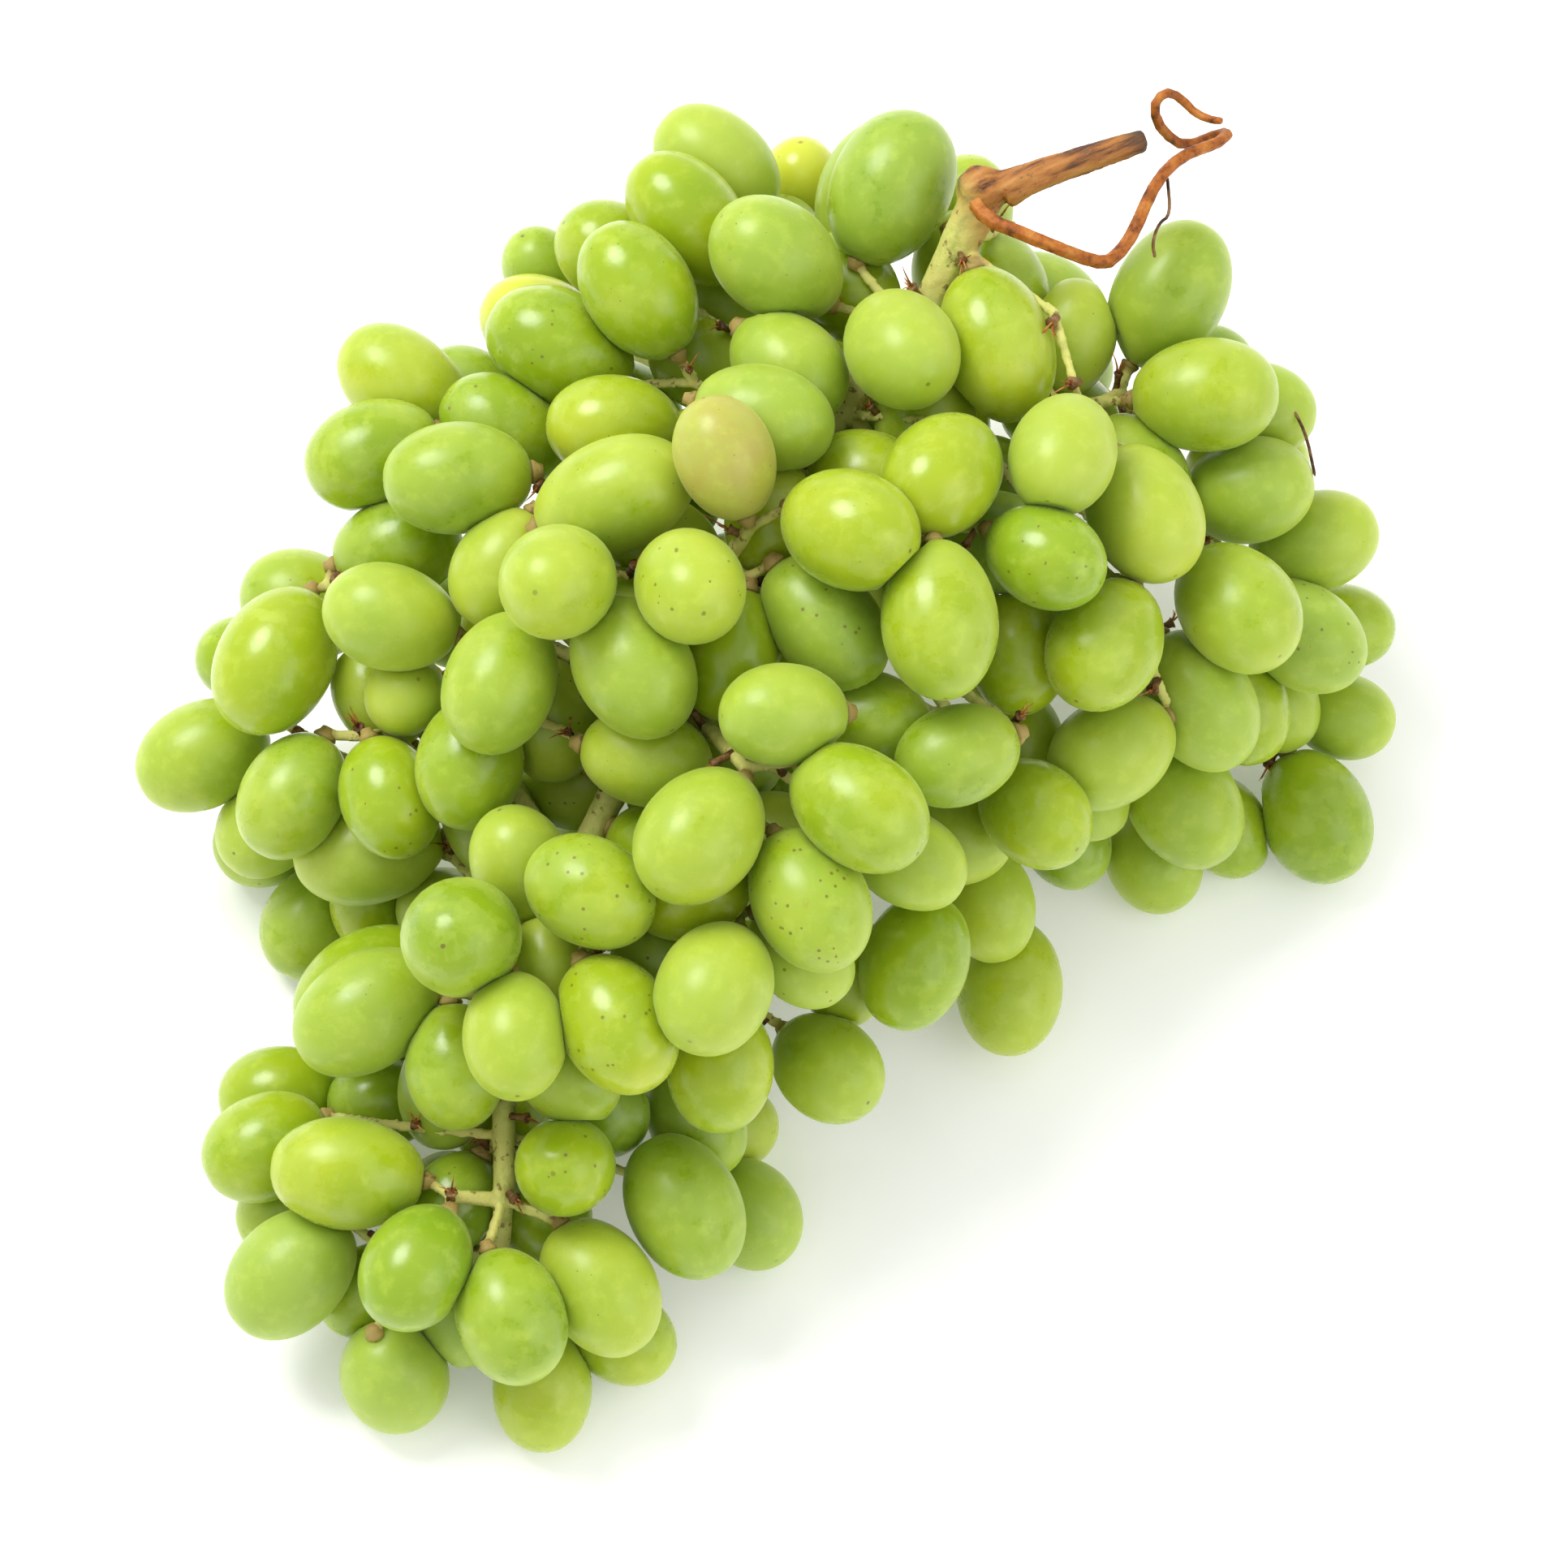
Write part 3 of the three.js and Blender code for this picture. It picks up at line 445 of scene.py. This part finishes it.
# %% Grape skin
def grape_skin():
    material, nodes, links, skin = new_material("grape_skin")
    where = nodes.new("ShaderNodeTexCoord").outputs["Object"]
    tip = attribute(nodes, "tip")
    bloom = attribute(nodes, "bloom")

    spread = math_node(nodes, links, "SUBTRACT", noise_node(nodes, links, where, 60, 2), 0.5)
    ripeness = math_node(nodes, links, "ADD", attribute(nodes, "ripe"), spread, clamp=True)
    green = ramp(nodes, [(0.0, (0.19, 0.31, 0.006)), (0.35, (0.29, 0.41, 0.008)),
                         (0.7, (0.39, 0.48, 0.012)), (1.0, (0.54, 0.58, 0.06))])
    links.new(ripeness, green.inputs["Fac"])
    colour = green.outputs["Color"]
    dull = math_node(nodes, links, "MULTIPLY", attribute(nodes, "dull"), 0.6)
    colour = mix_colour(nodes, links, dull, colour, (0.19, 0.34, 0.03))
    blush = noise_node(nodes, links, where, 120, 4)
    blush = math_node(nodes, links, "MULTIPLY", attribute(nodes, "pink"), blush)
    colour = mix_colour(nodes, links, blush, colour, (0.42, 0.22, 0.09))

    veins = noise_node(nodes, links, where, 420, 4, 0.6)
    vein_share = grey_ramp(nodes, [(0.5, 0), (0.68, 0.2)])
    links.new(veins, vein_share.inputs["Fac"])
    colour = mix_colour(nodes, links, vein_share.outputs["Color"], colour, (0.62, 0.72, 0.12))

    patches = noise_node(nodes, links, where, 170, 5, 0.62)
    wax = math_node(nodes, links, "MULTIPLY_ADD", bloom, 0.6)
    wax.node.inputs[2].default_value = -0.24
    wax = math_node(nodes, links, "ADD", wax, math_node(nodes, links, "MULTIPLY", patches, 0.9))
    wax_share = grey_ramp(nodes, [(0.38, 0.0), (0.46, 0.17), (0.80, 0.34)])
    links.new(wax, wax_share.inputs["Fac"])
    colour = mix_colour(nodes, links, wax_share.outputs["Color"], colour, (0.48, 0.60, 0.15))

    specks = nodes.new("ShaderNodeTexVoronoi")
    specks.inputs["Scale"].default_value = 560
    links.new(where, specks.inputs["Vector"])
    speck_size = math_node(nodes, links, "MULTIPLY", attribute(nodes, "marks"), 0.16)
    speck = math_node(nodes, links, "LESS_THAN", specks.outputs["Distance"], speck_size)
    sparse = math_node(nodes, links, "GREATER_THAN", noise_node(nodes, links, where, 190, 2), 0.52)
    speck = math_node(nodes, links, "MULTIPLY", speck, sparse)
    speck_share = math_node(nodes, links, "MULTIPLY", speck, 0.7)
    colour = mix_colour(nodes, links, speck_share, colour, (0.16, 0.10, 0.02))

    blotch = math_node(nodes, links, "MULTIPLY", attribute(nodes, "marks"), 0.18)
    blotch = math_node(nodes, links, "ADD", blotch, noise_node(nodes, links, where, 130, 6, 0.7))
    blotch_share = grey_ramp(nodes, [(0.86, 0.0), (0.95, 0.5)])
    links.new(blotch, blotch_share.inputs["Fac"])
    colour = mix_colour(nodes, links, blotch_share.outputs["Color"], colour, (0.30, 0.19, 0.05))

    ragged = math_node(nodes, links, "MULTIPLY", noise_node(nodes, links, where, 1400, 3), 0.5)
    scar_edge = math_node(nodes, links, "ADD", tip, ragged)
    scar = grey_ramp(nodes, [(0.0, 0.9), (0.5, 0.75), (0.68, 0.0)])
    links.new(scar_edge, scar.inputs["Fac"])
    scar_share = math_node(nodes, links, "MULTIPLY", scar.outputs["Color"], attribute(nodes, "scar"))
    colour = mix_colour(nodes, links, scar_share, colour, (0.12, 0.065, 0.015))
    links.new(colour, skin.inputs["Base Color"])

    shine = grey_ramp(nodes, [(0.38, 0.24), (0.48, 0.38), (0.8, 0.48)])
    links.new(wax, shine.inputs["Fac"])
    links.new(shine.outputs["Color"], skin.inputs["Roughness"])
    skin.inputs["Subsurface Weight"].default_value = 1.0
    skin.inputs["Subsurface Radius"].default_value = (1.0, 0.9, 0.22)
    skin.inputs["Subsurface Scale"].default_value = 10 * MM
    skin.inputs["Sheen Weight"].default_value = 0.16
    skin.inputs["Sheen Roughness"].default_value = 0.35
    skin.inputs["Sheen Tint"].default_value = (0.86, 0.95, 0.55, 1)
    skin.inputs["IOR"].default_value = 1.4
    skin.inputs["Coat Weight"].default_value = 0.24
    skin.inputs["Coat Roughness"].default_value = 0.26
    pits = math_node(nodes, links, "MULTIPLY", speck, -0.6)
    fine = math_node(nodes, links, "ADD", noise_node(nodes, links, where, 1500, 3), pits)
    links.new(bumped(nodes, links, fine, 0.05 * MM, 0.5), skin.inputs["Normal"])
    return material


skin_material = grape_skin()
for piece in berry_objects:
    piece.data.materials.append(skin_material)
print("skin nodes", len(skin_material.node_tree.nodes))

# %% [markdown]
# ## The stalk
#
# The stalk is one grown piece: the main stem, the cut side arm and every berry's little stem. Its coarse
# model has rods of four sides. Voxel remeshing turns them into one skin with no seams, smoothing rounds them,
# and a little swelling gives back what smoothing took. Rebuilding each rod as a curve would leave a visible
# seam at every fork.

# %% Remesh and round the stems
def rounded_copy(node_name, piece_name, voxel, smooth, swell, lumps):
    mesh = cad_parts[node_name].data.copy()
    mesh.name = piece_name
    piece = bpy.data.objects.new(piece_name, mesh)
    bpy.context.scene.collection.objects.link(piece)
    remesh = piece.modifiers.new("skin", "REMESH")
    remesh.mode = "VOXEL"
    remesh.voxel_size = voxel
    soften = piece.modifiers.new("soften", "SMOOTH")
    soften.factor = 0.5
    soften.iterations = smooth
    baked = bpy.data.meshes.new_from_object(piece.evaluated_get(bpy.context.evaluated_depsgraph_get()))
    piece.modifiers.clear()
    piece.data = baked
    baked.name = piece_name
    baked.materials.clear()
    places = [vertex.co.copy() for vertex in baked.vertices]
    normals = [vertex.normal.copy() for vertex in baked.vertices]
    for i, (place, normal) in enumerate(zip(places, normals)):
        rough = noise.noise(place / (1.6 * MM)) + 0.5 * noise.noise(place / (0.7 * MM))
        places[i] = place + normal * (swell + lumps * rough)
    baked.vertices.foreach_set("co", [x for place in places for x in place])
    baked.update()
    baked.shade_smooth()
    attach(piece, "root")
    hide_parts(node_name)
    return piece


stalk = rounded_copy("stalk", "stalk_skin", 0.42 * MM, 5, 0.22 * MM, 0.10 * MM)
print("stalk faces", len(stalk.data.polygons))

# %% [markdown]
# ## Where the stalk is green and where it is brown
#
# A fresh bunch has a yellow-green stalk. It turns brown at the swollen joint and in a little collar round
# every berry, and nearly black where it was cut. Each vertex of the stalk gets three numbers for this: how
# close it is to a berry's stem end, how far out it is on the cut arm, counted from the place where the
# tendril leaves the joint, and how close it is to the cut itself.

# %% Mark the collars and the cut arm
def vertex_number(piece, name, values):
    piece.data.attributes.new(name, "FLOAT", "POINT").data.foreach_set("value", values)


stem_ends = KDTree(len(berries))
for i, berry in enumerate(berries):
    stem_ends.insert(berry["centre"] - berry["axis"] * berry["half"], i)
stem_ends.balance()

tendril_coords = [v.co.copy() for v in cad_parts["tendril"].data.vertices]
joint = min(tendril_coords, key=lambda co: stalk_tree.find(co)[2])
arm_end = max((v.co for v in stalk.data.vertices), key=lambda co: co.x + co.y)
arm_line = (arm_end - joint).normalized()
print("joint", [round(v / MM) for v in joint], "arm end", [round(v / MM) for v in arm_end])


def armness(co):
    along = (co - joint).dot(arm_line)
    off = (co - joint - arm_line * along).length
    return 0.0 if off > 9 * MM or along < -7 * MM else max(0.0, min(1.0, (along + 4 * MM) / (6 * MM)))


def nearness(distance, reach):
    return max(0.0, 1 - distance / reach)


stalk_coords = [v.co.copy() for v in stalk.data.vertices]
vertex_number(stalk, "collar", [nearness(stem_ends.find(co)[2], 3.2 * MM) for co in stalk_coords])
vertex_number(stalk, "cut", [armness(co) for co in stalk_coords])
vertex_number(stalk, "end", [nearness((co - arm_end).length, 5 * MM) for co in stalk_coords])


# %% Stalk finish
def streaks(nodes, links, where):
    grain = nodes.new("ShaderNodeMapping")
    grain.inputs["Rotation"].default_value = arm_line.to_track_quat("X", "Z").inverted().to_euler()
    links.new(where, grain.inputs["Vector"])
    stretch = nodes.new("ShaderNodeMapping")
    stretch.inputs["Scale"].default_value = (0.12, 1.0, 1.0)
    links.new(grain.outputs["Vector"], stretch.inputs["Vector"])
    return noise_node(nodes, links, stretch.outputs["Vector"], 600, 5, 0.6)


def stalk_finish():
    material, nodes, links, bark = new_material("stalk_bark")
    where = nodes.new("ShaderNodeTexCoord").outputs["Object"]
    mottle = noise_node(nodes, links, where, 160, 5, 0.6)
    green = ramp(nodes, [(0.28, (0.30, 0.33, 0.05)), (0.48, (0.58, 0.58, 0.15)), (0.72, (0.56, 0.50, 0.14))])
    links.new(mottle, green.inputs["Fac"])
    brown = ramp(nodes, [(0.36, (0.07, 0.025, 0.008)), (0.48, (0.36, 0.13, 0.02)),
                         (0.66, (0.50, 0.24, 0.05))])
    links.new(streaks(nodes, links, where), brown.inputs["Fac"])
    colour = mix_colour(nodes, links, attribute(nodes, "cut"), green.outputs["Color"], brown.outputs["Color"])
    collar = grey_ramp(nodes, [(0.15, 0.0), (0.5, 0.55), (1.0, 0.85)])
    links.new(attribute(nodes, "collar"), collar.inputs["Fac"])
    colour = mix_colour(nodes, links, collar.outputs["Color"], colour, (0.27, 0.13, 0.035))
    fleck = grey_ramp(nodes, [(0.60, 0.0), (0.66, 0.75)])
    links.new(noise_node(nodes, links, where, 620, 3, 0.6), fleck.inputs["Fac"])
    colour = mix_colour(nodes, links, fleck.outputs["Color"], colour, (0.16, 0.075, 0.02))
    end = grey_ramp(nodes, [(0.1, 0.0), (0.6, 0.9)])
    links.new(attribute(nodes, "end"), end.inputs["Fac"])
    colour = mix_colour(nodes, links, end.outputs["Color"], colour, (0.04, 0.022, 0.012))
    links.new(colour, bark.inputs["Base Color"])
    bark.inputs["Roughness"].default_value = 0.62
    bark.inputs["Subsurface Weight"].default_value = 0.15
    bark.inputs["Subsurface Radius"].default_value = (1.0, 0.7, 0.2)
    bark.inputs["Subsurface Scale"].default_value = 1.0 * MM
    rough = math_node(nodes, links, "ADD", noise_node(nodes, links, where, 900, 5, 0.7), mottle)
    links.new(bumped(nodes, links, rough, 0.3 * MM, 0.7), bark.inputs["Normal"])
    return material


bark_material = stalk_finish()
stalk.data.materials.append(bark_material)

# %% [markdown]
# ## The tendril and the dry threads
#
# The tendril is a wiry shoot that reached for a support and curled. It has dried orange-brown, so it gets
# the same rounding as the stalk and a mottled, slightly shiny finish. The hair-thin dead threads come later
# and are too fine for the coarse model. Like the collars, stubs and fibres, they are tubes swept along a few
# points, with a radius given at each.

# %% Tendril
tendril = rounded_copy("tendril", "tendril_skin", 0.22 * MM, 4, 0.08 * MM, 0.05 * MM)


def dry_finish(name, dark, middle, pale, scale):
    material, nodes, links, surface = new_material(name)
    where = nodes.new("ShaderNodeTexCoord").outputs["Object"]
    tone = ramp(nodes, [(0.36, dark), (0.5, middle), (0.68, pale)])
    links.new(noise_node(nodes, links, where, scale, 5, 0.65), tone.inputs["Fac"])
    links.new(tone.outputs["Color"], surface.inputs["Base Color"])
    surface.inputs["Roughness"].default_value = 0.5
    surface.inputs["Specular IOR Level"].default_value = 0.25
    links.new(bumped(nodes, links, noise_node(nodes, links, where, scale * 3, 4, 0.6), 0.2 * MM, 0.6),
              surface.inputs["Normal"])
    return material


dry_orange = dry_finish("dry_tendril", (0.09, 0.025, 0.006), (0.36, 0.105, 0.015), (0.52, 0.21, 0.04), 300)
tendril.data.materials.append(dry_orange)
print("tendril faces", len(tendril.data.polygons))


# %% A helper for thin tubes
def tube(bm, points, radii, sides=7):
    rings = []
    side = Vector((0.31, 0.52, 0.79))
    for i, point in enumerate(points):
        ahead = (points[min(i + 1, len(points) - 1)] - points[max(i - 1, 0)]).normalized()
        side = (side - ahead * side.dot(ahead)).normalized()
        across = ahead.cross(side)
        turns = [2 * math.pi * k / sides for k in range(sides)]
        outs = [side * math.cos(t) + across * math.sin(t) for t in turns]
        rings.append([bm.verts.new(point + out * radii[i]) for out in outs])
    for low, high in zip(rings, rings[1:]):
        for k in range(sides):
            bm.faces.new((low[k], low[(k + 1) % sides], high[(k + 1) % sides], high[k]))
    bm.faces.new(rings[0][::-1])
    bm.faces.new(rings[-1])


def piece_from(bm, name, material):
    mesh = bpy.data.meshes.new(name)
    bm.to_mesh(mesh)
    bm.free()
    mesh.shade_smooth()
    mesh.materials.append(material)
    piece = bpy.data.objects.new(name, mesh)
    bpy.context.scene.collection.objects.link(piece)
    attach(piece, "root")
    return piece


# %% [markdown]
# ## Collars and dried stubs
#
# Where a berry sits on its stem there is a small woody cushion, a little wider than the stem. Between the
# berries some stems have lost their berry, and their torn ends have dried dark with a few fibres sticking
# out. Both are made as short tubes whose radius follows a drawn profile.

# %% Berry collars
rough_brown = dry_finish("dry_brown", (0.035, 0.018, 0.008), (0.16, 0.075, 0.025), (0.34, 0.20, 0.08), 420)
bm = bmesh.new()
for berry in berries:
    if not berry["stemmed"]:
        continue
    start = berry["centre"] - berry["axis"] * (berry["half"] - 0.3 * MM)
    profile = [(0.0, 1.5), (0.35, 1.75), (0.8, 1.6), (1.3, 1.2), (2.0, 1.0)]
    wobble = 1 + 0.12 * math.sin(berry["centre"].x / MM)
    points = [start - berry["axis"] * (d * MM) for d, _ in profile]
    tube(bm, points, [r * wobble * MM for _, r in profile], 10)
collars = piece_from(bm, "berry_collars", bark_material)
for name, value in (("collar", 0.75), ("cut", 0.0), ("end", 0.0)):
    vertex_number(collars, name, [value] * len(collars.data.vertices))
print("collars", sum(b["stemmed"] for b in berries))

# %% Find bare stems that can be seen from above
PLACES_TRIED = 30000
SPACING = 9 * MM

all_berries = bmesh.new()
for piece in berry_objects:
    all_berries.from_mesh(piece.data)
berry_bvh = BVHTree.FromBMesh(all_berries)
all_berries.free()


def is_open(place, direction, length):
    return berry_bvh.ray_cast(place + direction * 0.3 * MM, direction, length)[0] is None


bare = []
vertices = list(stalk.data.vertices)
rng.shuffle(vertices)
for vertex in vertices[:PLACES_TRIED]:
    place, normal = vertex.co.copy(), vertex.normal.copy()
    if normal.dot(towards_eye) < 0.3 or armness(place) > 0:
        continue
    if any((place - other).length < SPACING for other, _ in bare) or stem_ends.find(place)[2] < 2 * MM:
        continue
    if is_open(place, towards_eye, 1.0) and is_open(place, normal, 6 * MM):
        bare.append((place, normal))
print("bare places", len(bare))

# %% Dried stubs and their fibres
STUBS = 44

stubs, fibres = bmesh.new(), bmesh.new()
for place, normal in bare[:STUBS]:
    lean = Vector([rng.uniform(-1, 1) for _ in range(3)]) * 0.55
    way = (normal + lean).normalized()
    long = rng.uniform(1.2, 3.2) * MM
    if not is_open(place, way, long + 1.5 * MM):
        continue
    thick = rng.uniform(0.55, 0.95) * MM
    profile = [(-0.3, 0.9), (0.3, 0.75), (0.7, 0.9), (0.95, 1.25), (1.0, 0.7)]
    tube(stubs, [place + way * (long * d) for d, _ in profile], [thick * r for _, r in profile], 8)
    for _ in range(rng.randint(2, 5)):
        bend = Vector([rng.uniform(-1, 1) for _ in range(3)])
        start = place + way * long * 0.9 + bend * 0.4 * MM
        reach = rng.uniform(1.0, 3.0) * MM
        points = [start + (way * t + bend * 0.7 * t * t) * reach for t in (0, 0.35, 0.7, 1)]
        tube(fibres, points, [0.22 * MM, 0.17 * MM, 0.12 * MM, 0.04 * MM], 5)
rust = dry_finish("dry_rust", (0.12, 0.03, 0.008), (0.40, 0.14, 0.03), (0.55, 0.28, 0.08), 500)
piece_from(stubs, "dried_stubs", rough_brown)
piece_from(fibres, "dried_fibres", rust)

# %% [markdown]
# ## Loose dead threads
#
# Two dead threads hang on the bunch: one from the tendril, one on its right side. Their places are given as
# parts of a box, so they move with the model. Cutting the corners of a path twice makes it a smooth curve.

# %% Dead threads
def rounded_path(points):
    for _ in range(2):
        cut = [points[0]]
        for a, b in zip(points, points[1:]):
            cut += [a.lerp(b, 0.25), a.lerp(b, 0.75)]
        points = cut + [points[-1]]
    return points


tendril_box = [Vector(corner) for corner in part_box("tendril")]
hanging = [in_box(*place, *tendril_box) for place in (
    (0.78, 0.45, 0.5), (0.755, 0.34, 0.42), (0.71, 0.30, 0.4), (0.685, 0.2, 0.35), (0.695, 0.13, 0.3))]
hanging[0] = min(tendril_coords, key=lambda co: (co - hanging[0]).length)
sideways = [in_box(*place) for place in (
    (0.885, 0.765, 0.58), (0.90, 0.755, 0.6), (0.915, 0.73, 0.59), (0.922, 0.695, 0.57))]
sideways.insert(0, stalk_tree.find(sideways[0])[0])

threads = bmesh.new()
for path in (rounded_path(hanging), rounded_path(sideways)):
    tube(threads, path, [0.26 * MM] * (len(path) - 1) + [0.08 * MM], 6)
piece_from(threads, "dead_threads", rough_brown)
print("threads in mm", [round((path[0] - path[-1]).length / MM) for path in (hanging, sideways)])

# %% [markdown]
# ## Floor and light
#
# A pale table fills the whole background. The light is a large soft lamp above and behind to the left, a
# weak one opposite, and a bright, even sky, so shadows are soft and fall to the front right. The table gives
# off a little light of its own, as a light table does, so the shadow stays pale and the grapes bright below.

# %% Stage
FLOOR_REACH = 3.0

floor_mesh = bpy.data.meshes.new("floor")
floor_corners = [(x * FLOOR_REACH, y * FLOOR_REACH, 0) for x, y in ((-1, -1), (1, -1), (1, 1), (-1, 1))]
floor_mesh.from_pydata(floor_corners, [], [(0, 1, 2, 3)])
floor = bpy.data.objects.new("floor", floor_mesh)
bpy.context.scene.collection.objects.link(floor)
floor_material, nodes, links, surface = new_material("pale_floor")
surface.inputs["Base Color"].default_value = (0.93, 0.93, 0.93, 1)
surface.inputs["Emission Color"].default_value = (1.0, 1.0, 1.0, 1)
surface.inputs["Emission Strength"].default_value = 0.15
surface.inputs["Roughness"].default_value = 0.8
floor_mesh.materials.append(floor_material)
floor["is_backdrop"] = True

# %% Sky and lamps
world = bpy.data.worlds.new("sky")
world.use_nodes = True
sky = world.node_tree.nodes["Background"]
sky.inputs["Color"].default_value = (1, 1, 1, 1)
sky.inputs["Strength"].default_value = 0.86
bpy.context.scene.world = world


def soft_lamp(name, offset, size, power):
    data = bpy.data.lights.new(name, "AREA")
    data.shape = "DISK"
    data.size = size
    data.energy = power
    lamp = bpy.data.objects.new(name, data)
    lamp.location = target + Vector(offset)
    lamp.rotation_euler = (target - lamp.location).to_track_quat("-Z", "Y").to_euler()
    bpy.context.scene.collection.objects.link(lamp)


soft_lamp("key", (-0.45, 0.35, 0.9), 0.55, 9)
soft_lamp("fill", (0.8, -0.5, 0.6), 0.9, 3)
bpy.context.scene.view_settings.view_transform = "Standard"

# %% [markdown]
# ## Check the size and finish
#
# The finished bunch should fill the same box as the coarse one. Both boxes are printed side by side.

# %% Finish
visual_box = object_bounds()
boxes = {"cad": [list(c) for c in cad_box], "visual": [list(c) for c in visual_box]}
print({k: [[round(x / MM, 1) for x in c] for c in v] for k, v in boxes.items()})
